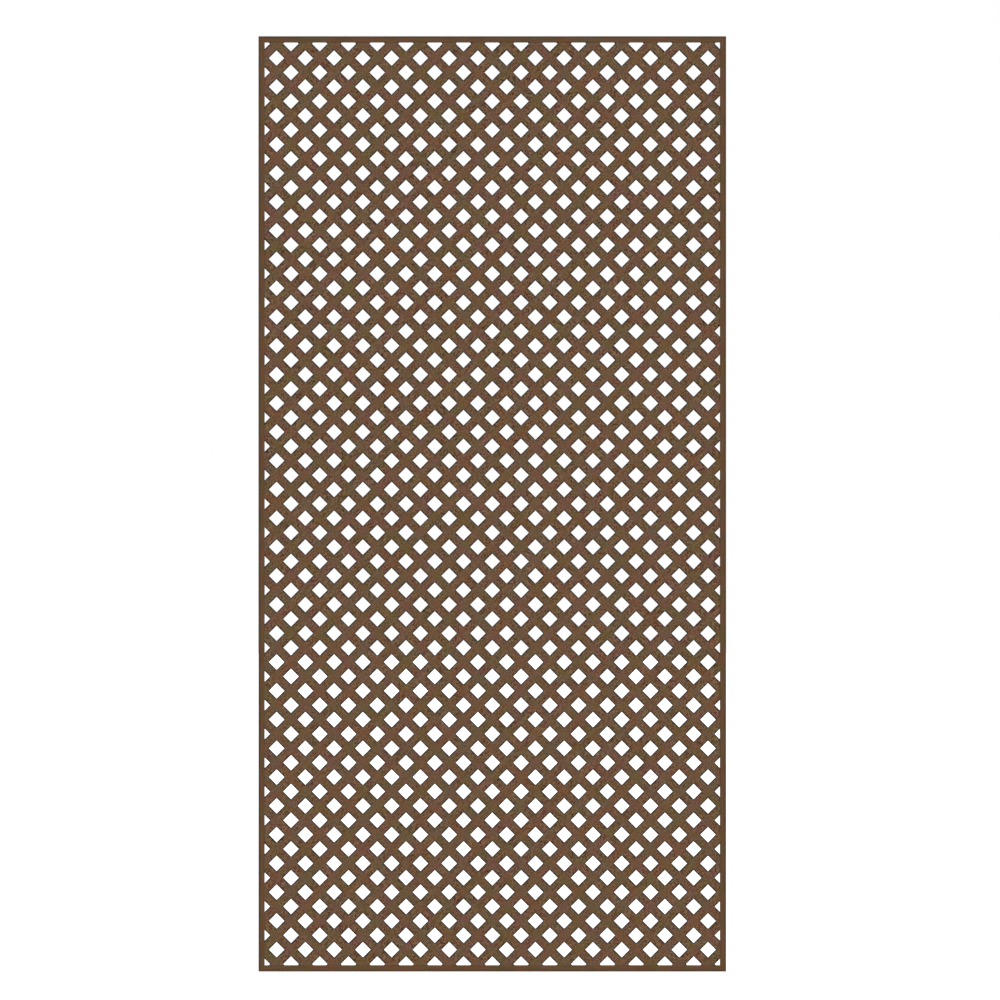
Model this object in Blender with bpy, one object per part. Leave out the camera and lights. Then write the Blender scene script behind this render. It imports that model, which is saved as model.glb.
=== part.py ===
"""Plastic lattice panel, four feet by eight, as separate pieces.

Slats lie in two crossed layers, most of them welded in pairs, with their ends in the channels
of four mitred rails. Metres, +Z up, front facing -Y. The origin is under the middle of the
bottom rail, at mid depth.
"""

import math

import bmesh
import bpy
from mathutils import Matrix, Vector

# Overall size
PANEL_WIDTH = 1.2192
PANEL_HEIGHT = 2.4384

# Lattice
DIAMONDS_ACROSS = 16
DIAMONDS_DOWN = 2 * DIAMONDS_ACROSS
SIDE_TO_CROSSINGS = 0.0096
END_TO_CROSSINGS = 0.0192
SLAT_WIDTH = 0.0246
SLAT_THICKNESS = 0.0030
SLAT_EDGE_RADIUS = 0.0012
LAYER_GAP = 0.0003
SINGLES_NEXT_TO_A_SIDE = 4

# Weld that joins the two slats of a pair
WELD_DIAMETER = 0.0140
WELD_BITE = 0.0010
WELD_SIDES = 16

# Channel rails
RAIL_WIDTH = 0.015875
RAIL_WEB = 0.0020
RAIL_LIP = 0.0015
RAIL_EDGE_RADIUS = 0.0015
LIP_EDGE_RADIUS = 0.0005

# Rounded edges
EDGE_SEGMENTS = 2
ROUND_PROFILE = 0.5
MOST_ROUNDING = 0.45  # as a share of the wall that is rounded

# Clearances
SLAT_FACE_CLEARANCE = 0.0003
SLAT_END_CLEARANCE = 0.0003
MITRE_GAP = 0.0003

# Colours, linear, and finish
SLAT_COLOUR = (0.147, 0.087, 0.049)
RAIL_COLOUR = (0.127, 0.074, 0.040)
ROUGHNESS = 0.55
SMOOTH_ANGLE = math.radians(35)

# Worked out from the sizes above
SLATS_IN_A_LAYER = DIAMONDS_ACROSS + DIAMONDS_DOWN
PITCH_X = (PANEL_WIDTH - 2 * SIDE_TO_CROSSINGS) / DIAMONDS_ACROSS
PITCH_Z = (PANEL_HEIGHT - 2 * END_TO_CROSSINGS) / DIAMONDS_DOWN
SLAT_ANGLE = math.atan2(PITCH_Z, PITCH_X)
LAYER_OFFSET = (LAYER_GAP + SLAT_THICKNESS) / 2
CHANNEL_DEPTH = 2 * SLAT_THICKNESS + LAYER_GAP + 2 * SLAT_FACE_CLEARANCE
PANEL_DEPTH = CHANNEL_DEPTH + 2 * RAIL_LIP
MIDDLE = Vector((0, 0, PANEL_HEIGHT / 2))
LONGER_THAN_ANY_SLAT = 2 * math.hypot(PANEL_WIDTH, PANEL_HEIGHT)

# The two layers of slats, as the side of mid depth that each lies on
FRONT = -1
REAR = 1

# Rows of crossings that use each slat once: the row's name, the numbers of its first front and
# rear slats, and how many of its slats next to each side are pieces of their own
CROSSING_ROWS = (
    ("top", 0, DIAMONDS_DOWN, 0),
    ("middle", DIAMONDS_ACROSS, DIAMONDS_ACROSS, SINGLES_NEXT_TO_A_SIDE),
    ("bottom", DIAMONDS_DOWN, 0, 0),
)


def clear_scene():
    for obj in list(bpy.data.objects):
        bpy.data.objects.remove(obj, do_unlink=True)


def new_collection(name):
    collection = bpy.data.collections.new(name)
    bpy.context.scene.collection.children.link(collection)
    return collection


def plastic(name, colour):
    """Matt moulded plastic of one colour."""
    material = bpy.data.materials.new(name)
    material.use_nodes = True
    shader = material.node_tree.nodes["Principled BSDF"]
    shader.inputs["Base Color"].default_value = (*colour, 1)
    shader.inputs["Roughness"].default_value = ROUGHNESS
    shader.inputs["Metallic"].default_value = 0
    return material


def add_object(name, mesh, placement, collection, material=None):
    obj = bpy.data.objects.new(name, mesh)
    obj.matrix_world = placement
    collection.objects.link(obj)
    if material:
        mesh.materials.append(material)
    return obj


def add_cutter(name, mesh, placement, collection):
    """A helper shape that a Boolean uses and a render leaves out."""
    obj = add_object(name, mesh, placement, collection)
    obj.hide_render = True
    obj.display_type = "WIRE"
    return obj


def add_boolean(obj, operation, other):
    modifier = obj.modifiers.new(f"{operation.lower()} {other.name}", "BOOLEAN")
    modifier.operation = operation
    modifier.solver = "EXACT"
    modifier.object = other


def finished_mesh(bm, name):
    """The bmesh as a mesh, smooth on its rounded edges and sharp at its corners."""
    bmesh.ops.recalc_face_normals(bm, faces=bm.faces)
    mesh = bpy.data.meshes.new(name)
    bm.to_mesh(mesh)
    bm.free()
    mesh.shade_smooth()
    mesh.set_sharp_from_angle(angle=SMOOTH_ANGLE)
    return mesh


def bar(length, depth, width):
    """A plain bar centred on the origin: length along X, depth along Y, width along Z."""
    bm = bmesh.new()
    bmesh.ops.create_cube(bm, size=1)
    bmesh.ops.scale(bm, vec=(length, depth, width), verts=bm.verts)
    return bm


def round_long_edges(bm, radius, wall, on_side=lambda edge: True):
    """Rounds the edges that run along X, on the side asked for, as far as the wall allows."""
    along_x = [
        edge
        for edge in bm.edges
        if abs(edge.verts[0].co.x - edge.verts[1].co.x) > edge.calc_length() / 2
    ]
    bmesh.ops.bevel(
        bm,
        geom=[edge for edge in along_x if on_side(edge)],
        offset=min(radius, MOST_ROUNDING * wall),
        segments=EDGE_SEGMENTS,
        profile=ROUND_PROFILE,
        affect="EDGES",
    )


def trim(bm, point, outward):
    """Cuts off what lies beyond a plane and closes the cut."""
    geometry = bm.verts[:] + bm.edges[:] + bm.faces[:]
    bmesh.ops.bisect_plane(bm, geom=geometry, plane_co=point, plane_no=outward, clear_outer=True)
    bmesh.ops.holes_fill(bm, edges=[edge for edge in bm.edges if edge.is_boundary])


def seat_planes():
    """A point and an outward normal of each plane where slats end, clear of the rails' webs."""
    inset = RAIL_WEB + SLAT_END_CLEARANCE
    for outward, half_size in (
        (Vector((1, 0, 0)), PANEL_WIDTH / 2),
        (Vector((-1, 0, 0)), PANEL_WIDTH / 2),
        (Vector((0, 0, 1)), PANEL_HEIGHT / 2),
        (Vector((0, 0, -1)), PANEL_HEIGHT / 2),
    ):
        yield MIDDLE + outward * (half_size - inset), outward


def slat_placement(layer, at):
    """Where a slat of a layer lies whose middle line passes through a crossing."""
    into_layer = Vector((0, layer * LAYER_OFFSET, 0))
    return Matrix.Translation(at + into_layer) @ Matrix.Rotation(layer * SLAT_ANGLE, 4, "Y")


def slat_mesh(name, placement):
    """One slat along its own X, ended by the seat planes as they lie from this placement."""
    bm = bar(LONGER_THAN_ANY_SLAT, SLAT_THICKNESS, SLAT_WIDTH)
    round_long_edges(bm, SLAT_EDGE_RADIUS, SLAT_THICKNESS)
    to_slat = placement.inverted()
    for point, outward in seat_planes():
        trim(bm, to_slat @ point, to_slat.to_3x3() @ outward)
    return finished_mesh(bm, name)


def weld_mesh():
    """The round weld between two layers, biting a little into both, with its axis along Y."""
    bm = bmesh.new()
    bmesh.ops.create_cone(
        bm,
        cap_ends=True,
        segments=WELD_SIDES,
        radius1=WELD_DIAMETER / 2,
        radius2=WELD_DIAMETER / 2,
        depth=LAYER_GAP + 2 * WELD_BITE,
        matrix=Matrix.Rotation(math.pi / 2, 4, "X"),
    )
    return finished_mesh(bm, "weld")


def crossing(front, rear):
    """Where a front slat and a rear slat cross, between the layers.

    Each layer's slats are numbered from 0, one pitch apart, from left to right. Front slats
    rise to the right and rear slats fall to the right, so the crossing moves right with both
    numbers, and up with the rear slat's number less the front slat's.
    """
    across = (front + rear + 1 - SLATS_IN_A_LAYER) * PITCH_X / 2
    up = (rear - front) * PITCH_Z / 2
    return MIDDLE + Vector((across, 0, up))


def make_slat(name, layer, at, parts, material):
    placement = slat_placement(layer, at)
    return add_object(name, slat_mesh(name, placement), placement, parts, material)


def make_slat_pair(name, at, weld, parts, cutters, material):
    """A front slat joined to the rear slat that it is welded to."""
    pair = make_slat(name, FRONT, at, parts, material)
    rear_name = f"{name}_rear"
    rear_place = slat_placement(REAR, at)
    rear_slat = add_cutter(rear_name, slat_mesh(rear_name, rear_place), rear_place, cutters)
    weld_place = Matrix.Translation(at)
    add_boolean(pair, "UNION", add_cutter(f"{name}_weld", weld, weld_place, cutters))
    add_boolean(pair, "UNION", rear_slat)


def channel_cutter(cutters):
    """The space that the slats' field takes, which cuts the channel of all four rails."""
    bm = bar(PANEL_WIDTH - 2 * RAIL_WEB, CHANNEL_DEPTH, PANEL_HEIGHT - 2 * RAIL_WEB)
    mesh = finished_mesh(bm, "slat_channel")
    return add_cutter("slat_channel", mesh, Matrix.Translation(MIDDLE), cutters)


def rail_mesh(name, length):
    """A mitred rail along X, its outer face on Z = 0, rounded outside and at its lips."""
    bm = bar(length, PANEL_DEPTH, RAIL_WIDTH)
    corner_wall = RAIL_WEB + RAIL_LIP
    round_long_edges(bm, RAIL_EDGE_RADIUS, corner_wall, lambda edge: edge.verts[0].co.z < 0)
    round_long_edges(bm, LIP_EDGE_RADIUS, RAIL_LIP, lambda edge: edge.verts[0].co.z > 0)
    bmesh.ops.translate(bm, vec=(0, 0, RAIL_WIDTH / 2), verts=bm.verts)
    for side in (1, -1):
        outward = Vector((side, 0, 1)).normalized()
        corner = Vector((side * length / 2, 0, 0))
        trim(bm, corner - outward * MITRE_GAP / 2, outward)
    return finished_mesh(bm, name)


def make_rail(name, length, outer_middle, turn, channel, parts, material):
    """A rail whose outer face is centred on outer_middle, turned about Y to face inwards."""
    placement = Matrix.Translation(outer_middle) @ Matrix.Rotation(turn, 4, "Y")
    rail = add_object(name, rail_mesh(name, length), placement, parts, material)
    add_boolean(rail, "DIFFERENCE", channel)


def make_lattice(parts, cutters):
    """Every slat, by rows of crossings: a pair that is welded there, or two single slats."""
    weld = weld_mesh()
    material = plastic("slat_plastic", SLAT_COLOUR)
    for row, first_front, first_rear, singles in CROSSING_ROWS:
        for place in range(DIAMONDS_ACROSS):
            at = crossing(first_front + place, first_rear + place)
            number = f"{place + 1:02d}"
            if min(place, DIAMONDS_ACROSS - 1 - place) < singles:
                make_slat(f"{row}_front_slat_{number}", FRONT, at, parts, material)
                make_slat(f"{row}_rear_slat_{number}", REAR, at, parts, material)
            else:
                name = f"{row}_slat_pair_{number}"
                make_slat_pair(name, at, weld, parts, cutters, material)


def make_rails(parts, cutters):
    channel = channel_cutter(cutters)
    to_side = Vector((PANEL_WIDTH / 2, 0, 0))
    to_end = Vector((0, 0, PANEL_HEIGHT / 2))
    for name, length, outer_middle, turn in (
        ("bottom_rail", PANEL_WIDTH, MIDDLE - to_end, 0),
        ("left_stile", PANEL_HEIGHT, MIDDLE - to_side, math.pi / 2),
        ("top_rail", PANEL_WIDTH, MIDDLE + to_end, math.pi),
        ("right_stile", PANEL_HEIGHT, MIDDLE + to_side, -math.pi / 2),
    ):
        material = plastic(f"{name}_plastic", RAIL_COLOUR)
        make_rail(name, length, outer_middle, turn, channel, parts, material)


def main():
    clear_scene()
    parts = new_collection("plastic_lattice_panel")
    cutters = new_collection("cutters")
    make_lattice(parts, cutters)
    make_rails(parts, cutters)


main()
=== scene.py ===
"""Plastic lattice panel as it looks: slats, welds, channel rails, their finish and a studio.

Metres, +Z up, front facing -Y. Each slat and rail is a closed section carried along its own
line, worked out with numpy, and takes its place from the frame.
"""

import math
from functools import partial

import bpy
import numpy as np
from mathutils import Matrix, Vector
from bpy.props import (
    FloatProperty,
    FloatVectorProperty,
    IntProperty,
    PointerProperty,
)
from bpy.types import Operator, Panel, PropertyGroup


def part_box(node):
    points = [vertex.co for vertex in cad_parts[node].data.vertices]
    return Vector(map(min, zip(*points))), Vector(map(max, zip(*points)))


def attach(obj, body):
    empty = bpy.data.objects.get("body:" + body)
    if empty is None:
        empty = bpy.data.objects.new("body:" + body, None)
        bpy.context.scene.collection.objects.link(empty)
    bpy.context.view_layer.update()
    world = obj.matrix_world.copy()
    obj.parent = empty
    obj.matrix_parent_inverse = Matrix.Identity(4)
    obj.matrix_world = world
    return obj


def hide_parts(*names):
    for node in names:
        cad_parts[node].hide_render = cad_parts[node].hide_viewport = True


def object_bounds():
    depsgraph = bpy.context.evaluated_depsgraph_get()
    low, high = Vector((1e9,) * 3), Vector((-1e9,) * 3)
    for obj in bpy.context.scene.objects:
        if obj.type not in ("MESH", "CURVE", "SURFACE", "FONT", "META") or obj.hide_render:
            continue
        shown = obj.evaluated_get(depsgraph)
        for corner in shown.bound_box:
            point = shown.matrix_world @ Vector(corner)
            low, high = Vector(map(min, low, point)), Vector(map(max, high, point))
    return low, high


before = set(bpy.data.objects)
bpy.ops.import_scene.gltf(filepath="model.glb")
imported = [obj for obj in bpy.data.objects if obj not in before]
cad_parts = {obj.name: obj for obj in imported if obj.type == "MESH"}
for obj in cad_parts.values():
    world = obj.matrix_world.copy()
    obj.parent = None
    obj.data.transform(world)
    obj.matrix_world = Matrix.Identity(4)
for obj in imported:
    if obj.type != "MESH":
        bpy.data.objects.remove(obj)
CAD_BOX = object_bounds()

bl_info = {
    "name": "Plastic Lattice Panel",
    "version": (1, 0, 0),
    "blender": (4, 5, 0),
    "location": "3D View > Sidebar > Lattice",
    "description": "Brown plastic lattice panel with welded slats and channel rails",
    "category": "Add Mesh",
}

BODY = "root"

# What the frame gives: the panel's box, where slats end and how thick a slat is
LOW, HIGH = (np.array(corner, dtype=float) for corner in CAD_BOX)
HALF_PANEL = (HIGH - LOW) / 2
MIDDLE = (HIGH + LOW) / 2
SLAT_LOW, SLAT_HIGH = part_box("middle_front_slat_01")
TOP_PAIR_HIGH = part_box("top_slat_pair_01")[1]
TOP_RAIL_LOW, TOP_RAIL_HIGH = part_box("top_rail")
SEAT_X = -SLAT_LOW[0]
SEAT_Z = TOP_PAIR_HIGH[2] - MIDDLE[2]
SLAT_THICKNESS = SLAT_HIGH[1] - SLAT_LOW[1]
SLAT_LAYER = -(SLAT_HIGH[1] + SLAT_LOW[1]) / 2
RAIL_WIDTH = TOP_RAIL_HIGH[2] - TOP_RAIL_LOW[2]
MITRE_SETBACK = HALF_PANEL[0] - TOP_RAIL_HIGH[0]

# Directions in the panel's plane: a slat's length, front slats rising and rear slats falling
UP_RIGHT = np.array((1.0, 0.0, 1.0)) / math.sqrt(2)
DOWN_RIGHT = np.array((1.0, 0.0, -1.0)) / math.sqrt(2)

# Maps that the finish and the baking read
GRAIN_MAP = "grain"
BAKE_MAP = "OFBake"
TONE = "tone"

# Materials, named for the plastic and how it was made
SLAT_FINISH = "moulded polypropylene, wood grain"
RAIL_FINISH = "extruded polypropylene, brown"
WELD_FINISH = "melted polypropylene, brown"

MILLIMETRE = 0.001
SMOOTH_ANGLE = math.radians(40)

# Points nearer to a face than this lie on it
SAME_FACE = MILLIMETRE / 100

# How finely slats and rails are cut into faces
FACE_POINTS = 24
CORNER_SEGMENTS = 4
RAIL_FACE_POINTS = 14
RAIL_CORNER_SEGMENTS = 8
RAIL_STATION = 30 * MILLIMETRE

# The least distance from a slat's cut end to its next ring of points
END_ROOM = MILLIMETRE

# Moulded grain: the widths of its waves, the distances over which they drift, how far they
# drift as a share of a wave, and how late across the face they fade towards its rims
GRAIN_WAVES = np.array((3.2, 4.7, 7.3)) * MILLIMETRE
GRAIN_DRIFTS = (0.15, 0.5)
GRAIN_SWAY = 0.6
GRAIN_RIM_POWER = 8

# Draw lines along a rail: their spacing, the distance over which they drift, and how far
DRAW_LINE_PITCH = 2.6 * MILLIMETRE
DRAW_LINE_DRIFT = 0.35
DRAW_LINE_SWAY = 0.5

# Polypropylene, and each finish's roughness, from its darkest streaks to its lightest
IOR = 1.49
SPECULAR = 0.3
SLAT_ROUGHNESS = (0.75, 0.69)
RAIL_ROUGHNESS = (0.74, 0.68)
WELD_ROUGHNESS = 0.45
BUMP_STRENGTH = 0.3
# How far a rail's painted shade along its outer edges fades out
OUTER_PAINTED_SHADE_FADE = 2 * MILLIMETRE

# The range that nearly all of a noise's values lie in
NOISE_LOW = 0.35
NOISE_HIGH = 0.65

# What sets noises apart: how far from slat to slat, and where the second pair of hues starts
SLAT_NOISE_STEP = 37
SECOND_HUES = 9
PATCH_DETAIL = 4
PATCH_ROUGHNESS = 0.6

# How the map for baking is laid out, as shares of its side
ROW_SHARE = 0.7
BAKE_MARGIN = 0.008
CAP_STRIP = 0.08

# Which way the lights shine. In the panel's plane each one shines along the slats that it
# meets first, so these cast no shadow on the layer behind them, and it shines so squarely on
# the panel that the rails cast hardly any.
KEY_LIGHT_TOWARDS = (-0.2, 1, -0.2)
REAR_LIGHT_TOWARDS = (0.2, -1, -0.2)

# The floor, its paint, and how far the camera sees
FLOOR_HALF_SIZE = 30
FLOOR_LEVEL = -0.0005
FLOOR_WHITE = (0.8, 0.8, 0.8, 1)
FLOOR_ROUGHNESS = 0.95
FLOOR_GLOW = 0.8
CAMERA_REACH = 200


def linear(colour):
    """An sRGB hex colour as linear red, green and blue."""
    channels = (int(colour[place:place + 2], 16) / 255 for place in (1, 3, 5))
    return tuple(c / 12.92 if c <= 0.04045 else ((c + 0.055) / 1.055) ** 2.4 for c in channels)


class SlatSizes(PropertyGroup):
    """Sizes of the slats and of the surface grain moulded into them."""

    across: IntProperty(
        name="Diamonds across",
        description="Crossings in one row between the two stiles",
        default=16,
        min=2,
    )
    down: IntProperty(
        name="Diamonds down",
        description="Crossings in one column between the two rails",
        default=32,
        min=2,
    )
    pitch: FloatProperty(
        name="Pitch",
        description="Distance between crossings, across and down",
        default=0.075,
        subtype="DISTANCE",
        unit="LENGTH",
    )
    width: FloatProperty(
        name="Width",
        description="Width of a slat's face",
        default=0.0246,
        subtype="DISTANCE",
        unit="LENGTH",
    )
    edge_radius: FloatProperty(
        name="Edge radius",
        description="Radius of a slat's four long edges",
        default=0.0012,
        subtype="DISTANCE",
        unit="LENGTH",
        precision=5,
    )
    grain_depth: FloatProperty(
        name="Grain depth",
        description="Depth of the grooves of the moulded wood grain",
        default=0.00012,
        subtype="DISTANCE",
        unit="LENGTH",
        precision=5,
    )
    smooth_reach: FloatProperty(
        name="Smooth reach",
        description="How far from a crossing the face stays smooth",
        default=0.008,
        subtype="DISTANCE",
        unit="LENGTH",
    )
    grain_reach: FloatProperty(
        name="Grain reach",
        description="How far from a crossing the grain has its full depth",
        default=0.016,
        subtype="DISTANCE",
        unit="LENGTH",
    )


class WeldSizes(PropertyGroup):
    """Size of the pads that join the two layers where slats cross."""

    diameter: FloatProperty(
        name="Diameter",
        description="Diameter of a weld",
        default=0.014,
        subtype="DISTANCE",
        unit="LENGTH",
    )
    sides: IntProperty(
        name="Sides",
        description="Sides of a weld's outline",
        default=12,
        min=6,
    )


class RailSizes(PropertyGroup):
    """Sizes of the channel rails round the lattice."""

    web: FloatProperty(
        name="Web",
        description="Thickness of the rail's outer wall",
        default=0.002,
        subtype="DISTANCE",
        unit="LENGTH",
        precision=5,
    )
    lip: FloatProperty(
        name="Lip",
        description="Thickness of the rail's front and rear walls",
        default=0.0015,
        subtype="DISTANCE",
        unit="LENGTH",
        precision=5,
    )
    edge_radius: FloatProperty(
        name="Edge radius",
        description="Radius of the rail's outer edges",
        default=0.0015,
        subtype="DISTANCE",
        unit="LENGTH",
        precision=5,
    )
    lip_radius: FloatProperty(
        name="Lip radius",
        description="Radius of the lips' edges that face the lattice",
        default=0.0005,
        subtype="DISTANCE",
        unit="LENGTH",
        precision=5,
    )
    ripple: FloatProperty(
        name="Ripple",
        description="Depth of the draw lines along a rail",
        default=0.00005,
        subtype="DISTANCE",
        unit="LENGTH",
        precision=5,
    )


class Finish(PropertyGroup):
    """Colours and grain of the plastic, and the painted shade and light on slats' rims and rails'
    edges.
    """

    slat_red: FloatVectorProperty(
        name="Slat, redder",
        description="Redder patches of the slats",
        default=linear("#704131"),
        subtype="COLOR",
        size=3,
    )
    slat_olive: FloatVectorProperty(
        name="Slat, greener",
        description="Greener patches of the slats",
        default=linear("#5A4F2A"),
        subtype="COLOR",
        size=3,
    )
    slat_grey: FloatVectorProperty(
        name="Slat, greyer",
        description="Greyer patches of the slats",
        default=linear("#63493B"),
        subtype="COLOR",
        size=3,
    )
    slat_yellow: FloatVectorProperty(
        name="Slat, yellower",
        description="Yellower patches of the slats",
        default=linear("#67491B"),
        subtype="COLOR",
        size=3,
    )
    rail_red: FloatVectorProperty(
        name="Rail, redder",
        description="Redder patches of the rails",
        default=linear("#683A23"),
        subtype="COLOR",
        size=3,
    )
    rail_olive: FloatVectorProperty(
        name="Rail, greener",
        description="Greener patches of the rails",
        default=linear("#50441E"),
        subtype="COLOR",
        size=3,
    )
    rail_grey: FloatVectorProperty(
        name="Rail, greyer",
        description="Greyer patches of the rails",
        default=linear("#593F2C"),
        subtype="COLOR",
        size=3,
    )
    rail_yellow: FloatVectorProperty(
        name="Rail, yellower",
        description="Yellower patches of the rails",
        default=linear("#5D3F10"),
        subtype="COLOR",
        size=3,
    )
    grain_colour: FloatVectorProperty(
        name="Grain",
        description="What the grain's ridges add and its grooves take away",
        default=linear("#65553E"),
        subtype="COLOR",
        size=3,
    )
    groove_colour: FloatVectorProperty(
        name="Groove",
        description="Darkest colour in the grain's grooves",
        default=linear("#1C1208"),
        subtype="COLOR",
        size=3,
    )
    patch_size: FloatProperty(
        name="Patch size",
        description="Size of the patches of one tone",
        default=0.05,
        subtype="DISTANCE",
        unit="LENGTH",
    )
    streak_width: FloatProperty(
        name="Streak width",
        description="Width of the grain's long streaks",
        default=0.004,
        subtype="DISTANCE",
        unit="LENGTH",
    )
    streak_length: FloatProperty(
        name="Streak length",
        description="Length of the grain's long streaks",
        default=0.06,
        subtype="DISTANCE",
        unit="LENGTH",
    )
    streak_contrast: FloatProperty(
        name="Streak contrast",
        description="How much lighter and darker the long streaks are",
        default=0.08,
        min=0,
        max=2,
        subtype="FACTOR",
    )
    fibre_width: FloatProperty(
        name="Fibre width",
        description="Width of the grain's short fibres",
        default=0.002,
        subtype="DISTANCE",
        unit="LENGTH",
    )
    fibre_length: FloatProperty(
        name="Fibre length",
        description="Length of the grain's short fibres",
        default=0.004,
        subtype="DISTANCE",
        unit="LENGTH",
    )
    fibre_contrast: FloatProperty(
        name="Fibre contrast",
        description="How much lighter and darker the short fibres are",
        default=0.74,
        min=0,
        max=2,
        subtype="FACTOR",
    )
    crossing_grain: FloatProperty(
        name="Grain at crossings",
        description="Share of the grain's contrast that is left in a crossing's middle",
        default=0.22,
        min=0,
        max=1,
        subtype="FACTOR",
    )
    slat_tone: FloatProperty(
        name="Slat tone",
        description="How much slats differ in brightness",
        default=0.01,
        min=0,
        max=2,
        subtype="FACTOR",
    )
    # Where along an arm the rim's painted shade beside the opening turns into painted light at the
    # crossing
    painted_shade_start: FloatProperty(
        name="Fade start",
        description="Distance from a crossing where the darker rim begins",
        default=0.009,
        subtype="DISTANCE",
        unit="LENGTH",
    )
    painted_shade_end: FloatProperty(
        name="Fade end",
        description="Distance from a crossing where the darker rim is full",
        default=0.015,
        subtype="DISTANCE",
        unit="LENGTH",
    )
    # The rim's painted shade: a darker strip beside each opening, for the rounded edge turning away
    # from the light
    painted_rim_width: FloatProperty(
        name="Rim width",
        description="Width of the darker rim beside an opening",
        default=0.005,
        subtype="DISTANCE",
        unit="LENGTH",
    )
    rim_painted_shade: FloatProperty(
        name="Rim shade",
        description="How much darker the rim is than the face",
        default=0.9,
        min=0,
        max=1,
        subtype="FACTOR",
    )
    # Painted light: a lighter rim where slats cross, which hides the shade at the step between the
    # layers
    crossing_painted_light: FloatProperty(
        name="Rim at crossings",
        description="How much lighter the rim is where slats cross, which softens the step",
        default=0.13,
        min=0,
        max=1,
        subtype="FACTOR",
    )
    # Painted shade: a rail's outer edges are drawn darker
    outer_painted_shade_reach: FloatProperty(
        name="Outer reach",
        description="How far round from its outer face's middle a rail is darker",
        default=0.0088,
        subtype="DISTANCE",
        unit="LENGTH",
    )
    outer_painted_shade: FloatProperty(
        name="Outer shade",
        description="How much darker a rail's outer edge is",
        default=0.24,
        min=0,
        max=1,
        subtype="FACTOR",
    )
    line_contrast: FloatProperty(
        name="Line contrast",
        description="How much lighter and darker the rails' lines are",
        default=0.08,
        min=0,
        max=2,
        subtype="FACTOR",
    )


class Studio(PropertyGroup):
    """Camera, light and floor."""

    distance: FloatProperty(
        name="Camera distance",
        description="Distance from the camera to the panel's front",
        default=14.483,
        subtype="DISTANCE",
        unit="LENGTH",
    )
    aside: FloatProperty(
        name="Camera aside",
        description="How far right of the panel's middle the camera stands",
        default=0.0201,
        subtype="DISTANCE",
        unit="LENGTH",
    )
    height: FloatProperty(
        name="Camera height",
        description="Height of the camera over the floor",
        default=1.2293,
        subtype="DISTANCE",
        unit="LENGTH",
    )
    lens: FloatProperty(
        name="Lens",
        description="Focal length of the camera in millimetres",
        default=200,
        min=1,
        subtype="DISTANCE_CAMERA",
        unit="CAMERA",
    )
    key: FloatProperty(
        name="Key light",
        description="Strength of the light in front of the panel",
        default=2.67,
        min=0,
    )
    rear: FloatProperty(
        name="Rear light",
        description="Strength of the light behind the panel",
        default=2.63,
        min=0,
    )
    ambient: FloatProperty(
        name="Ambient",
        description="Brightness of the light that comes from all round",
        default=0.2,
        min=0,
    )
    mirrored: FloatProperty(
        name="Mirrored",
        description="Brightness of the surroundings as the plastic mirrors them",
        default=0.15,
        min=0,
    )
    light_angle: FloatProperty(
        name="Light softness",
        description="Angle that each light spans as seen from the panel",
        default=math.radians(15),
        subtype="ANGLE",
        unit="ROTATION",
    )


class PlasticLattice(PropertyGroup):
    """All that a user of the panel would change."""

    slats: PointerProperty(type=SlatSizes)
    welds: PointerProperty(type=WeldSizes)
    rails: PointerProperty(type=RailSizes)
    finish: PointerProperty(type=Finish)
    studio: PointerProperty(type=Studio)


def settings():
    """The panel's properties on the scene."""
    return bpy.context.scene.plastic_lattice


def round_corner(centre, radius, start, segments):
    """Points of a quarter circle, counter-clockwise: centre + radius (cos a, sin a)."""
    angles = start + np.linspace(0, math.pi / 2, segments + 1)
    return centre + radius * np.stack((np.cos(angles), np.sin(angles)), axis=1)


def slat_section(sizes):
    """A rounded rectangle as (across, depth) points, counter-clockwise from one side's middle.

    The front and rear faces carry evenly spaced points, and each corner is a quarter circle.
    """
    radius = sizes.edge_radius
    half = np.array((sizes.width, SLAT_THICKNESS)) / 2 - radius
    face = np.linspace(-half[0], half[0], FACE_POINTS)[1:-1]
    front = np.stack((face, np.full_like(face, -half[1] - radius)), axis=1)
    corner = partial(round_corner, radius=radius, segments=CORNER_SEGMENTS)
    return np.concatenate((
        ((-sizes.width / 2, 0),),
        corner((-half[0], -half[1]), start=math.pi),
        front,
        corner((half[0], -half[1]), start=-math.pi / 2),
        corner((half[0], half[1]), start=0),
        -front,
        corner((-half[0], half[1]), start=math.pi / 2),
    ))


def around(section):
    """Distance round a closed section from its first point, with the whole way round last."""
    steps = np.linalg.norm(np.roll(section, -1, axis=0) - section, axis=1)
    return np.concatenate(((0,), np.cumsum(steps)))


def quads(rings, points):
    """Corner numbers of the faces between rings of a tube, and of its two end caps."""
    ring, point = np.meshgrid(np.arange(rings - 1), np.arange(points), indexing="ij")
    after = (point + 1) % points
    corners = (ring * points + point, ring * points + after)
    corners += ((ring + 1) * points + after, (ring + 1) * points + point)
    first_cap = np.arange(points)[::-1]
    last_cap = (rings - 1) * points + np.arange(points)
    return np.stack(corners, axis=-1).reshape(-1, 4), first_cap, last_cap


def corner_values(grid):
    """A (rings, points + 1) grid of values as four values for each face between rings."""
    corners = (grid[:-1, :-1], grid[:-1, 1:], grid[1:, 1:], grid[1:, :-1])
    return np.stack(corners, axis=-1).reshape(-1, 4)


def add_map(mesh, name, faces, caps):
    """A UV map from the two values at each corner of the faces and of the caps."""
    values = np.concatenate([faces.reshape(-1, 2)] + [cap.reshape(-1, 2) for cap in caps])
    mesh.uv_layers.new(name=name).uv.foreach_set("vector", values.astype(np.float32).ravel())


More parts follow.
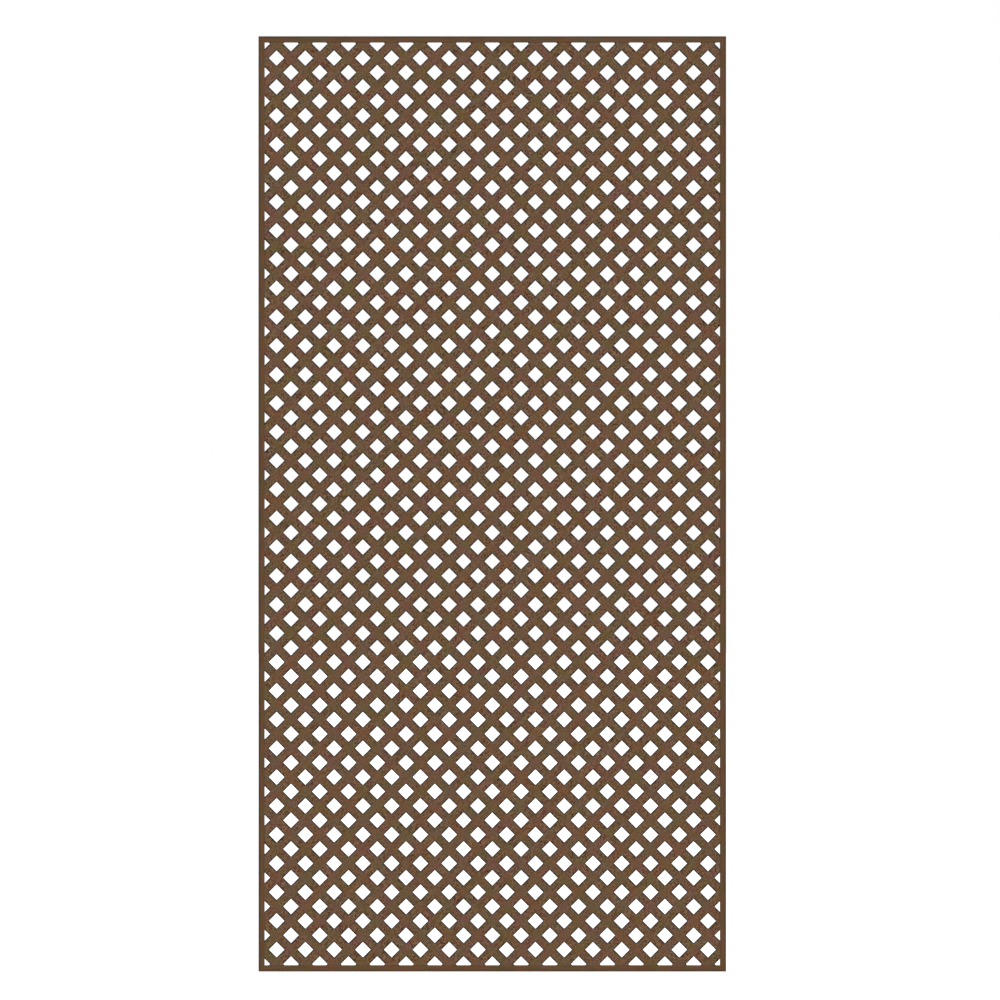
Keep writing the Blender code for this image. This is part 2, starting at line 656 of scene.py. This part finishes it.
def bake_map(along, round_way):
    """Places for baking: the tube unrolled, its length folded into rows one above another.

    A row holds an equal number of rings. Along the row, the place is the distance along the
    tube over the row's length, and up the row it is the distance round the section over the
    whole way round. The caps lie in a strip over the rows.
    """
    rings = along.shape[0]
    length = along.max() - along.min()
    rows = max(1, round(ROW_SHARE * math.sqrt(length / round_way[-1])))
    row_of_ring = np.minimum(np.arange(rings - 1) * rows // (rings - 1), rows - 1)
    low = np.array([along[:-1][row_of_ring == row].min() for row in range(rows)])
    high = np.array([along[1:][row_of_ring == row].max() for row in range(rows)])
    start = low[row_of_ring][:, None, None]
    span = (high - low)[row_of_ring][:, None, None]
    wide = corner_values(along).reshape(rings - 1, -1, 4)
    u = BAKE_MARGIN + (wide - start) / span * (1 - 2 * BAKE_MARGIN)
    height = (1 - CAP_STRIP) / rows
    share = corner_values(np.broadcast_to(round_way / round_way[-1], along.shape))
    v = row_of_ring[:, None, None] * height + BAKE_MARGIN
    v = v + share.reshape(u.shape) * (height - 2 * BAKE_MARGIN)
    return np.stack((u, v), axis=-1)


def bake_cap(section, place):
    """A cap's outline in its own half of the strip over the rows."""
    low = section.min(axis=0)
    span = (section.max(axis=0) - low).max()
    outline = (section - low) / span * (CAP_STRIP - 2 * BAKE_MARGIN)
    return outline + (place / 2 + BAKE_MARGIN, 1 - CAP_STRIP + BAKE_MARGIN)


def new_mesh(name, places, corners, totals):
    """A mesh from whole arrays: points, the corners of all faces, and how many each face has."""
    mesh = bpy.data.meshes.new(name)
    mesh.vertices.add(places.size // 3)
    mesh.vertices.foreach_set("co", places.astype(np.float32).ravel())
    mesh.loops.add(len(corners))
    mesh.loops.foreach_set("vertex_index", corners.astype(np.int32))
    mesh.polygons.add(len(totals))
    mesh.polygons.foreach_set("loop_start", (np.cumsum(totals) - totals).astype(np.int32))
    return mesh


def add_tube(name, section, depth, along, line, offset, tone, material):
    """A closed tube: point = middle + line * along + side * (offset + across) + Y * depth.

    side is square to the line in the panel's plane. depth and along have a value for each ring
    and point of the section, so that ends can be cut at a slant and faces can carry grain.
    """
    side = np.array((line[2], 0, -line[0]))
    across = np.broadcast_to(section[:, 0] + offset, along.shape)
    places = MIDDLE + along[..., None] * line + across[..., None] * side
    places[..., 1] += depth
    rings, points = along.shape
    faces, first_cap, last_cap = quads(rings, points)
    corners = np.concatenate((faces.ravel(), first_cap, last_cap))
    totals = np.concatenate((np.full(len(faces), 4), (points, points)))
    mesh = new_mesh(name, places, corners, totals)
    round_way = around(section)
    wrapped = np.concatenate((along, along[:, :1]), axis=1)
    grain = np.stack((
        corner_values(np.broadcast_to(round_way, wrapped.shape)),
        corner_values(wrapped),
    ), axis=-1)
    cap_grain = np.stack((section[:, 0], np.zeros(points)), axis=1)
    add_map(mesh, GRAIN_MAP, grain, (
        cap_grain[::-1] + (0, along[0].mean()),
        cap_grain + (0, along[-1].mean()),
    ))
    add_map(mesh, BAKE_MAP, bake_map(wrapped, round_way), (
        bake_cap(section[::-1], 0),
        bake_cap(section, 1),
    ))
    tones = mesh.attributes.new(TONE, "FLOAT", "POINT")
    tones.data.foreach_set("value", np.full(rings * points, tone, dtype=np.float32))
    return finished_piece(name, mesh, material)


def finished_piece(name, mesh, material):
    """The mesh as an object at the origin, smooth over its rounded edges and sharp at its ends."""
    mesh.update(calc_edges=True)
    mesh.shade_smooth()
    mesh.set_sharp_from_angle(angle=SMOOTH_ANGLE)
    mesh.materials.append(material)
    piece = bpy.data.objects.new(name, mesh)
    bpy.context.scene.collection.objects.link(piece)
    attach(piece, BODY)
    return piece


def crossing_gap(sizes):
    """Distance along a slat from one crossing to the next."""
    return sizes.pitch / math.sqrt(2)


def smooth_step(values, low, high):
    """0 under low, 1 over high and 3 t^2 - 2 t^3 between them."""
    t = np.clip((values - low) / (high - low), 0, 1)
    return t * t * (3 - 2 * t)


def grain_relief(across, along, half_face, sizes, rng):
    """Depth of the moulded grain: rows of shallow grooves that wander along the slat.

    It is the grain's depth times half of 1 + the mean of three cosines across the face, whose
    phases drift slowly along the slat. It fades out at the face's rims and round each crossing.
    """
    drifts = rng.uniform(*GRAIN_DRIFTS, len(GRAIN_WAVES))
    starts = rng.uniform(0, 2 * math.pi, len(GRAIN_WAVES))
    sway = GRAIN_SWAY * np.sin(along[..., None] / drifts * 2 * math.pi)
    phase = across[..., None] / GRAIN_WAVES + sway
    grooves = np.cos(2 * math.pi * phase + starts).mean(axis=-1)
    rim = 1 - np.clip(np.abs(across) / half_face, 0, 1) ** GRAIN_RIM_POWER
    gap = crossing_gap(sizes)
    to_crossing = np.abs((along / gap) % 1 - 0.5) * gap
    fade = smooth_step(to_crossing, sizes.smooth_reach, sizes.grain_reach)
    return sizes.grain_depth * (0.5 + 0.5 * grooves) * rim * fade


def slat_rings(line, side, across, sizes):
    """Distance along the slat of each ring's points, the end rings cut where the slats end.

    On each of the two axes a point lies within its seat where |line s + side t| <= seat, so
    the ends are s = -side t / line -+ seat / |line|, and the nearer one counts.
    """
    seats = ((line[0], side[0], SEAT_X), (line[2], side[2], SEAT_Z))
    first = np.max([-t * across / s - seat / abs(s) for s, t, seat in seats], axis=0)
    last = np.min([-t * across / s + seat / abs(s) for s, t, seat in seats], axis=0)
    gap = crossing_gap(sizes)
    crossings = (np.arange(-sizes.down - sizes.across, sizes.down + sizes.across) + 0.5) * gap
    reach = np.array((sizes.smooth_reach, sizes.grain_reach))
    steps = np.concatenate((-reach[::-1], reach))
    stations = (crossings[:, None] + steps).ravel()
    inside = (stations > first.max() + END_ROOM) & (stations < last.min() - END_ROOM)
    between = np.broadcast_to(stations[inside][:, None], (inside.sum(), len(across)))
    return np.concatenate((first[None], between, last[None]))


def add_slat(name, number, line, layer, sizes, rng, material):
    """One slat, as a rounded bar with grain on both faces, whose ends sit in the rails.

    Slats lie one pitch apart across the panel, so the number-th of a layer passes the middle
    at pitch * (number + 1/2 - count / 2), measured along X.
    """
    side = np.array((line[2], 0, -line[0]))
    count = sizes.across + sizes.down
    step = sizes.pitch / 2 * (2 * number + 1 - count)
    offset = side[0] * step
    section = slat_section(sizes)
    along = slat_rings(line, side, section[:, 0] + offset, sizes)
    across = np.broadcast_to(section[:, 0], along.shape)
    half_face = sizes.width / 2 - sizes.edge_radius
    relief = grain_relief(across, along, half_face, sizes, rng)
    depth = layer * SLAT_LAYER + section[:, 1] - np.sign(section[:, 1]) * relief
    slat = add_tube(name, section, depth, along, line, offset, rng.uniform(-1, 1), material)
    return slat


def node_of(layer_name, number, rows, across):
    """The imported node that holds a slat: its welded pair, or the slat by itself."""
    row = rows[number // across]
    place = f"{number % across + 1:02d}"
    pair = f"{row}_slat_pair_{place}"
    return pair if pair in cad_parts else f"{row}_{layer_name}_slat_{place}"


def rail_section(sizes, half_depth):
    """A channel as (outwards, depth) points, counter-clockwise, its outer face at 0.

    The outer edges and the lips' edges are quarter circles, and the channel opens inwards.
    """
    lip_end = -RAIL_WIDTH
    outer, edge, wall = sizes.edge_radius, sizes.lip_radius, half_depth - sizes.lip
    face = np.linspace(lip_end + edge, -outer, RAIL_FACE_POINTS)[1:-1]
    front = np.stack((face, np.full_like(face, -half_depth)), axis=1)
    few, many = CORNER_SEGMENTS, RAIL_CORNER_SEGMENTS
    return np.concatenate((
        round_corner((lip_end + edge, edge - half_depth), edge, math.pi, few),
        front,
        round_corner((-outer, outer - half_depth), outer, -math.pi / 2, many),
        round_corner((-outer, half_depth - outer), outer, 0, many),
        front[::-1] * (1, -1),
        round_corner((lip_end + edge, half_depth - edge), edge, math.pi / 2, few),
        round_corner((lip_end + edge, wall + edge), edge, math.pi, few),
        ((-sizes.web, wall), (-sizes.web, -wall)),
        round_corner((lip_end + edge, -wall - edge), edge, math.pi / 2, few),
    ))


def outer_face_middle(sizes):
    """How far round a rail's section, from its first point, its outer face's middle is."""
    section = rail_section(sizes, HALF_PANEL[1])
    return around(section)[:-1][section[:, 0] > -SAME_FACE].mean()


def add_rail(name, node, line, half_length, half_across, sizes, seed, material):
    """A mitred channel. A point lies at most half the length less its own depth from the middle.

    The visible faces carry draw lines: ripple * (1 + cos(2 pi across / pitch + drift)) / 2.
    """
    rng = np.random.default_rng(seed)
    half_depth = HALF_PANEL[1]
    section = rail_section(sizes, half_depth)
    rings = 2 * math.ceil(half_length / RAIL_STATION) + 1
    reach = half_length - MITRE_SETBACK + section[:, 0]
    along = np.linspace(-1, 1, rings)[:, None] * reach
    on_face = np.abs(section[:, 1]) > half_depth - SAME_FACE
    drift = DRAW_LINE_SWAY * np.sin(along / DRAW_LINE_DRIFT + rng.uniform(0, 2 * math.pi))
    waves = np.cos(2 * math.pi * section[:, 0] / DRAW_LINE_PITCH + drift)
    ripple = sizes.ripple * (1 + waves) / 2 * on_face
    depth = section[:, 1] - np.sign(section[:, 1]) * ripple
    rail = add_tube(name, section, depth, along, line, half_across, 0, material)
    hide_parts(node)


def add_welds(sizes, slats, material):
    """A round pad at each crossing, filling the gap between the layers.

    Crossings lie at (i, j) half pitches from the middle where i + j is odd.
    """
    radius = sizes.diameter / 2
    half_gap = SLAT_LAYER - SLAT_THICKNESS / 2
    i, j = np.meshgrid(
        np.arange(-slats.across, slats.across + 1), np.arange(-slats.down, slats.down + 1)
    )
    at = np.stack((i, j), axis=-1)[(i + j) % 2 == 1] * slats.pitch / 2
    at = at[(np.abs(at) <= (SEAT_X - radius, SEAT_Z - radius)).all(axis=1)]
    turn = np.arange(sizes.sides) * 2 * math.pi / sizes.sides
    rim = radius * np.stack((np.cos(turn), np.sin(turn)), axis=1)
    places = np.zeros((len(at), 2, sizes.sides, 3))
    places[..., 0] = at[:, 0, None, None] + rim[:, 0]
    places[..., 2] = at[:, 1, None, None] + rim[:, 1]
    places[..., 1] = np.array((half_gap, -half_gap))[:, None]
    sides, rear_cap, front_cap = quads(2, sizes.sides)
    faces = [*sides, rear_cap, front_cap]
    starts = np.arange(len(at))[:, None] * 2 * sizes.sides
    corners = (starts + np.concatenate(faces)).ravel()
    totals = np.tile([len(face) for face in faces], len(at))
    mesh = new_mesh("crossing_welds", places + MIDDLE, corners, totals)
    welds = finished_piece("crossing_welds", mesh, material)


def add_node(tree, kind, inputs=(), **options):
    """A shader node with its options, and with a value or a link for each input named."""
    node = tree.nodes.new(kind)
    for name, value in options.items():
        setattr(node, name, value)
    for socket, value in dict(inputs).items():
        if isinstance(value, bpy.types.NodeSocket):
            tree.links.new(value, node.inputs[socket])
        else:
            node.inputs[socket].default_value = value
    return node


def new_plastic(name):
    """A polypropylene material: the material, its shader and a short way to add a node."""
    material = bpy.data.materials.new(name)
    material.use_nodes = True
    shader = material.node_tree.nodes["Principled BSDF"]
    shader.inputs["Metallic"].default_value = 0
    shader.inputs["IOR"].default_value = IOR
    shader.inputs["Specular IOR Level"].default_value = SPECULAR
    return material, shader, partial(add_node, material.node_tree)


def streaks(add, place, width, length, own):
    """Soft streaks from -1 to 1, width across and length along, other ones for each own number."""
    stretched = add("ShaderNodeVectorMath", {
        0: place,
        1: (1 / width, 1 / length, 0),
    }, operation="MULTIPLY")
    noise = add("ShaderNodeTexNoise", {
        "Vector": stretched.outputs[0],
        "W": own,
        "Scale": 1,
        "Detail": 1,
    }, noise_dimensions="4D")
    return add("ShaderNodeMapRange", {
        "Value": noise.outputs["Fac"],
        "From Min": NOISE_LOW,
        "From Max": NOISE_HIGH,
        "To Min": -1,
        "To Max": 1,
    }, interpolation_type="SMOOTHSTEP").outputs[0]


def patchy(add, colours, size):
    """Two pairs of colours mixed by two noises, in soft patches of a size.

    The first pair gives the redder and greener patches, and the other the greyer and yellower.
    """
    place = add("ShaderNodeTexCoord").outputs["Object"]
    mixed = []
    for pair, own in ((colours[:2], 0), (colours[2:], SECOND_HUES)):
        noise = add("ShaderNodeTexNoise", {
            "Vector": place,
            "W": own,
            "Scale": 1 / size,
            "Detail": PATCH_DETAIL,
            "Roughness": PATCH_ROUGHNESS,
        }, noise_dimensions="4D")
        share = add("ShaderNodeMapRange", {
            "Value": noise.outputs["Fac"],
            "From Min": NOISE_LOW,
            "From Max": NOISE_HIGH,
        }, interpolation_type="SMOOTHSTEP")
        mixed.append(add("ShaderNodeMix", {
            "Factor": share.outputs[0],
            "A": (*pair[0], 1),
            "B": (*pair[1], 1),
        }, data_type="RGBA").outputs["Result"])
    return add("ShaderNodeMix", {
        "Factor": 0.5,
        "A": mixed[0],
        "B": mixed[1],
    }, data_type="RGBA").outputs["Result"]


def wood_grain(add, finish, place, tone, to_arm_middle, half_gap):
    """The grain, dark below 0 and light above, and its long streaks alone, from -1 to 1.

    It is streaks * their contrast + fibres * their contrast, and weakens towards the crossings.
    """
    own = add("ShaderNodeMath", {0: tone, 1: SLAT_NOISE_STEP}, operation="MULTIPLY").outputs[0]
    share_here = add("ShaderNodeMapRange", {
        "Value": to_arm_middle,
        "From Min": 0,
        "From Max": half_gap,
        "To Min": 1,
        "To Max": finish.crossing_grain,
    }).outputs[0]
    long_streaks = streaks(add, place, finish.streak_width, finish.streak_length, own)
    fibres = streaks(add, place, finish.fibre_width, finish.fibre_length, own)
    grain = 0
    for share, factor in (
        (long_streaks, finish.streak_contrast),
        (fibres, finish.fibre_contrast),
    ):
        grain = add("ShaderNodeMath", {
            0: share,
            1: factor,
            2: grain,
        }, operation="MULTIPLY_ADD").outputs[0]
    grain = add("ShaderNodeMath", {0: grain, 1: share_here}, operation="MULTIPLY").outputs[0]
    return grain, long_streaks


def painted_rim(add, finish, slats, round_way, to_arm_middle, half_gap):
    """Where the rim is, from 0 to 1, with painted shade beside an opening and painted light at a
    crossing.
    """
    to_side = add("ShaderNodeMath", {
        0: round_way,
        1: around(slat_section(slats))[-1] / 4,
    }, operation="PINGPONG")
    rim = add("ShaderNodeMapRange", {
        "Value": to_side.outputs[0],
        "From Min": finish.painted_rim_width / 2,
        "From Max": finish.painted_rim_width,
        "To Min": 1,
        "To Max": 0,
    }, interpolation_type="SMOOTHSTEP")
    # Painted shade on the rim along the arms beside the openings, turning into painted light at the
    # crossings that hides the shade at the step
    rim_painted_light = add("ShaderNodeMapRange", {
        "Value": to_arm_middle,
        "From Min": half_gap - finish.painted_shade_end,
        "From Max": half_gap - finish.painted_shade_start,
        "To Min": -finish.rim_painted_shade,
        "To Max": finish.crossing_painted_light,
    }, interpolation_type="SMOOTHSTEP")
    return rim.outputs[0], rim_painted_light.outputs[0]


def slat_plastic(finish, slats):
    """Brown polypropylene, moulded with a wood grain: matt, streaked and faintly patchy.

    The streaks run along each slat and fade towards the crossings, where the two layers are
    welded and the face is smooth. They lighten and darken by one greyer colour, so the grain
    changes the brightness and hardly the hue. The rim beside each opening is painted darker, a
    painted shade for the rounded edge turning away from the light, and where slats cross it is
    painted lighter, a painted light that hides the shade at the step between the layers. The
    grain's fibres are finer than the render can show, so they are drawn nearly as wide as one
    of its pixels.
    """
    material, shader, add = new_plastic(SLAT_FINISH)
    place = add("ShaderNodeUVMap", uv_map=GRAIN_MAP).outputs[0]
    round_way, along, _ = add("ShaderNodeSeparateXYZ", {0: place}).outputs
    tone = add("ShaderNodeAttribute", attribute_name=TONE).outputs["Fac"]
    half_gap = crossing_gap(slats) / 2
    to_arm_middle = add("ShaderNodeMath", {0: along, 1: half_gap}, operation="PINGPONG").outputs[0]
    grain, long_streaks = wood_grain(add, finish, place, tone, to_arm_middle, half_gap)
    # The rim's painted shade beside the openings and its painted light at the crossings
    rim, rim_painted_light = painted_rim(add, finish, slats, round_way, to_arm_middle, half_gap)
    # Brightness: 1, plus the rim's painted shade and light, plus each slat's random tone
    tone_and_painted_shading = 1
    for share, factor in ((rim, rim_painted_light), (tone, finish.slat_tone)):
        tone_and_painted_shading = add("ShaderNodeMath", {
            0: share,
            1: factor,
            2: tone_and_painted_shading,
        }, operation="MULTIPLY_ADD").outputs[0]
    colours = (finish.slat_red, finish.slat_olive, finish.slat_grey, finish.slat_yellow)
    grained = add("ShaderNodeVectorMath", {
        0: grain,
        1: finish.grain_colour,
        2: patchy(add, colours, finish.patch_size),
    }, operation="MULTIPLY_ADD")
    colour = add("ShaderNodeVectorMath", {
        0: grained.outputs[0],
        1: finish.groove_colour,
    }, operation="MAXIMUM")
    shaded = add("ShaderNodeVectorMath", {
        0: colour.outputs[0],
        "Scale": tone_and_painted_shading,
    }, operation="SCALE")
    roughness = add("ShaderNodeMapRange", {
        "Value": long_streaks,
        "From Min": -1,
        "To Min": SLAT_ROUGHNESS[0],
        "To Max": SLAT_ROUGHNESS[1],
    })
    bump = add("ShaderNodeBump", {
        "Strength": BUMP_STRENGTH,
        "Distance": slats.grain_depth / 2,
        "Height": grain,
    })
    material.node_tree.links.new(shaded.outputs[0], shader.inputs["Base Color"])
    material.node_tree.links.new(roughness.outputs[0], shader.inputs["Roughness"])
    material.node_tree.links.new(bump.outputs[0], shader.inputs["Normal"])
    return material


def rail_plastic(finish, outer_middle):
    """Brown polypropylene, extruded as a channel: matt, with faint lines along its length.

    It is painted a little darker towards its outer edges: painted shade.
    """
    material, shader, add = new_plastic(RAIL_FINISH)
    place = add("ShaderNodeUVMap", uv_map=GRAIN_MAP).outputs[0]
    round_way = add("ShaderNodeSeparateXYZ", {0: place}).outputs[0]
    lines = streaks(add, place, finish.streak_width, finish.streak_length, 0)
    from_outer = add("ShaderNodeMath", {0: round_way, 1: outer_middle}, operation="SUBTRACT")
    to_outer = add("ShaderNodeMath", {0: from_outer.outputs[0]}, operation="ABSOLUTE")
    # Painted shade towards the outer edges
    edge = add("ShaderNodeMapRange", {
        "Value": to_outer.outputs[0],
        "From Min": finish.outer_painted_shade_reach,
        "From Max": finish.outer_painted_shade_reach + OUTER_PAINTED_SHADE_FADE,
        "To Min": 1 - finish.outer_painted_shade,
        "To Max": 1,
    }, interpolation_type="SMOOTHSTEP")
    tone_and_painted_shading = add("ShaderNodeMath", {
        0: lines,
        1: finish.line_contrast,
        2: edge.outputs[0],
    }, operation="MULTIPLY_ADD")
    colours = (finish.rail_red, finish.rail_olive, finish.rail_grey, finish.rail_yellow)
    shaded = add("ShaderNodeVectorMath", {
        0: patchy(add, colours, finish.patch_size),
        "Scale": tone_and_painted_shading.outputs[0],
    }, operation="SCALE")
    roughness = add("ShaderNodeMapRange", {
        "Value": lines,
        "From Min": -1,
        "To Min": RAIL_ROUGHNESS[0],
        "To Max": RAIL_ROUGHNESS[1],
    })
    material.node_tree.links.new(shaded.outputs[0], shader.inputs["Base Color"])
    material.node_tree.links.new(roughness.outputs[0], shader.inputs["Roughness"])
    return material


def weld_plastic(finish):
    """Brown polypropylene that was melted between two slats: smooth, and the slats' own colours."""
    material, shader, add = new_plastic(WELD_FINISH)
    colours = (finish.slat_red, finish.slat_olive, finish.slat_grey, finish.slat_yellow)
    colour = patchy(add, colours, finish.patch_size)
    material.node_tree.links.new(colour, shader.inputs["Base Color"])
    shader.inputs["Roughness"].default_value = WELD_ROUGHNESS
    return material


def add_layer(layer_name, line, layer, rows):
    """All slats of a layer, numbered from 0, left to right. Both layers share one material."""
    props = settings()
    sizes = props.slats
    made = bpy.data.materials.get(SLAT_FINISH)
    material = made or slat_plastic(props.finish, sizes)
    for number in range(sizes.across + sizes.down):
        rng = np.random.default_rng((layer + 1, number))
        name = f"{layer_name}_slat_{number + 1:02d}"
        slat = add_slat(name, number, line, layer, sizes, rng, material)
        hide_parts(node_of(layer_name, number, rows, sizes.across))


class LATTICE_OT_front_slats(Operator):
    """Add the front layer of slats, which rise to the right."""

    bl_idname = "lattice.front_slats"
    bl_label = "Front Slats"

    def execute(self, context):
        add_layer("front", UP_RIGHT, -1, ("top", "middle", "bottom"))
        return {"FINISHED"}


class LATTICE_OT_rear_slats(Operator):
    """Add the rear layer of slats, which fall to the right."""

    bl_idname = "lattice.rear_slats"
    bl_label = "Rear Slats"

    def execute(self, context):
        add_layer("rear", DOWN_RIGHT, 1, ("bottom", "middle", "top"))
        return {"FINISHED"}


class LATTICE_OT_crossing_welds(Operator):
    """Add the pads that join the two layers where slats cross."""

    bl_idname = "lattice.crossing_welds"
    bl_label = "Crossing Welds"

    def execute(self, context):
        props = settings()
        add_welds(props.welds, props.slats, weld_plastic(props.finish))
        return {"FINISHED"}


class LATTICE_OT_channel_rails(Operator):
    """Add the four mitred channels that hold the slats' ends."""

    bl_idname = "lattice.channel_rails"
    bl_label = "Channel Rails"

    def execute(self, context):
        props = settings()
        material = rail_plastic(props.finish, outer_face_middle(props.rails))
        half_width, _, half_height = HALF_PANEL
        for seed, (name, node, line, half_length, half_across) in enumerate((
            ("bottom_channel", "bottom_rail", (1, 0, 0), half_width, half_height),
            ("right_channel", "right_stile", (0, 0, 1), half_height, half_width),
            ("top_channel", "top_rail", (-1, 0, 0), half_width, half_height),
            ("left_channel", "left_stile", (0, 0, -1), half_height, half_width),
        )):
            direction = np.array(line, dtype=float)
            add_rail(name, node, direction, half_length, half_across, props.rails, seed, material)
        return {"FINISHED"}


def add_sun(name, strength, towards, angle):
    """A soft light that shines one way."""
    data = bpy.data.lights.new(name, "SUN")
    data.energy = strength
    data.angle = angle
    light = bpy.data.objects.new(name, data)
    light.rotation_mode = "QUATERNION"
    light.rotation_quaternion = Vector(towards).to_track_quat("-Z", "Y")
    bpy.context.scene.collection.objects.link(light)


def add_floor():
    """A wide pale floor just under the panel, whose light doesn't reach the panel."""
    mesh = bpy.data.meshes.new("floor")
    corners = [
        (across * FLOOR_HALF_SIZE, back * FLOOR_HALF_SIZE, FLOOR_LEVEL)
        for across, back in ((-1, -1), (1, -1), (1, 1), (-1, 1))
    ]
    mesh.from_pydata(corners, [], [(0, 1, 2, 3)])
    mesh.materials.append(floor_paint())
    floor = bpy.data.objects.new("floor", mesh)
    floor.visible_diffuse = False
    floor.visible_glossy = False
    bpy.context.scene.collection.objects.link(floor)


def floor_paint():
    """Matt white studio paint that glows, so that it runs into the white behind it."""
    material = bpy.data.materials.new("matt studio paint")
    material.use_nodes = True
    shader = material.node_tree.nodes["Principled BSDF"]
    shader.inputs["Base Color"].default_value = FLOOR_WHITE
    shader.inputs["Roughness"].default_value = FLOOR_ROUGHNESS
    shader.inputs["Emission Color"].default_value = (1, 1, 1, 1)
    shader.inputs["Emission Strength"].default_value = FLOOR_GLOW
    return material


def add_world(ambient, mirrored):
    """White behind the panel, an even grey light from all round and a dim one to mirror."""
    world = bpy.data.worlds.new("studio")
    world.use_nodes = True
    tree = world.node_tree
    ray = add_node(tree, "ShaderNodeLightPath").outputs
    soft = add_node(tree, "ShaderNodeMath", {
        0: ray["Is Glossy Ray"],
        1: mirrored - ambient,
        2: ambient,
    }, operation="MULTIPLY_ADD")
    strength = add_node(tree, "ShaderNodeMath", {
        0: ray["Is Camera Ray"],
        1: 1 - ambient,
        2: soft.outputs[0],
    }, operation="MULTIPLY_ADD")
    background = tree.nodes["Background"]
    background.inputs["Color"].default_value = (1, 1, 1, 1)
    tree.links.new(strength.outputs[0], background.inputs["Strength"])
    bpy.context.scene.world = world


def add_camera(studio):
    """A long lens straight in front of the panel."""
    data = bpy.data.cameras.new("camera")
    data.lens = studio.lens
    data.clip_end = CAMERA_REACH
    camera = bpy.data.objects.new("camera", data)
    camera.location = (studio.aside, LOW[1] - studio.distance, studio.height)
    camera.rotation_euler = (math.pi / 2, 0, 0)
    bpy.context.scene.collection.objects.link(camera)
    bpy.context.scene.camera = camera


class LATTICE_OT_studio(Operator):
    """Add the camera, the lights, the floor and the white surroundings."""

    bl_idname = "lattice.studio"
    bl_label = "Studio"

    def execute(self, context):
        studio = settings().studio
        add_camera(studio)
        add_sun("key light", studio.key, KEY_LIGHT_TOWARDS, studio.light_angle)
        add_sun("rear light", studio.rear, REAR_LIGHT_TOWARDS, studio.light_angle)
        add_floor()
        add_world(studio.ambient, studio.mirrored)
        context.scene.view_settings.view_transform = "Standard"
        return {"FINISHED"}


OPERATORS = (
    LATTICE_OT_front_slats,
    LATTICE_OT_rear_slats,
    LATTICE_OT_crossing_welds,
    LATTICE_OT_channel_rails,
    LATTICE_OT_studio,
)


class VIEW3D_PT_plastic_lattice(Panel):
    """Lists the panel's pieces and what can be changed."""

    bl_label = "Plastic Lattice Panel"
    bl_space_type = "VIEW_3D"
    bl_region_type = "UI"
    bl_category = "Lattice"

    def draw(self, context):
        for operator in OPERATORS:
            self.layout.operator(operator.bl_idname)
        props = settings()
        for group in (props.slats, props.welds, props.rails, props.finish, props.studio):
            box = self.layout.box()
            for name in group.bl_rna.properties.keys():
                if name not in ("rna_type", "name"):
                    box.prop(group, name)


CLASSES = (
    SlatSizes, WeldSizes, RailSizes, Finish, Studio, PlasticLattice, *OPERATORS,
    VIEW3D_PT_plastic_lattice,
)


def register():
    for cls in CLASSES:
        bpy.utils.register_class(cls)
    bpy.types.Scene.plastic_lattice = PointerProperty(type=PlasticLattice)


def unregister():
    del bpy.types.Scene.plastic_lattice
    for cls in reversed(CLASSES):
        bpy.utils.unregister_class(cls)


def main():
    """Registers the classes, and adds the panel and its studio."""
    register()
    bpy.ops.lattice.front_slats()
    bpy.ops.lattice.rear_slats()
    bpy.ops.lattice.crossing_welds()
    bpy.ops.lattice.channel_rails()
    bpy.ops.lattice.studio()


if __name__ == "__main__":
    main()
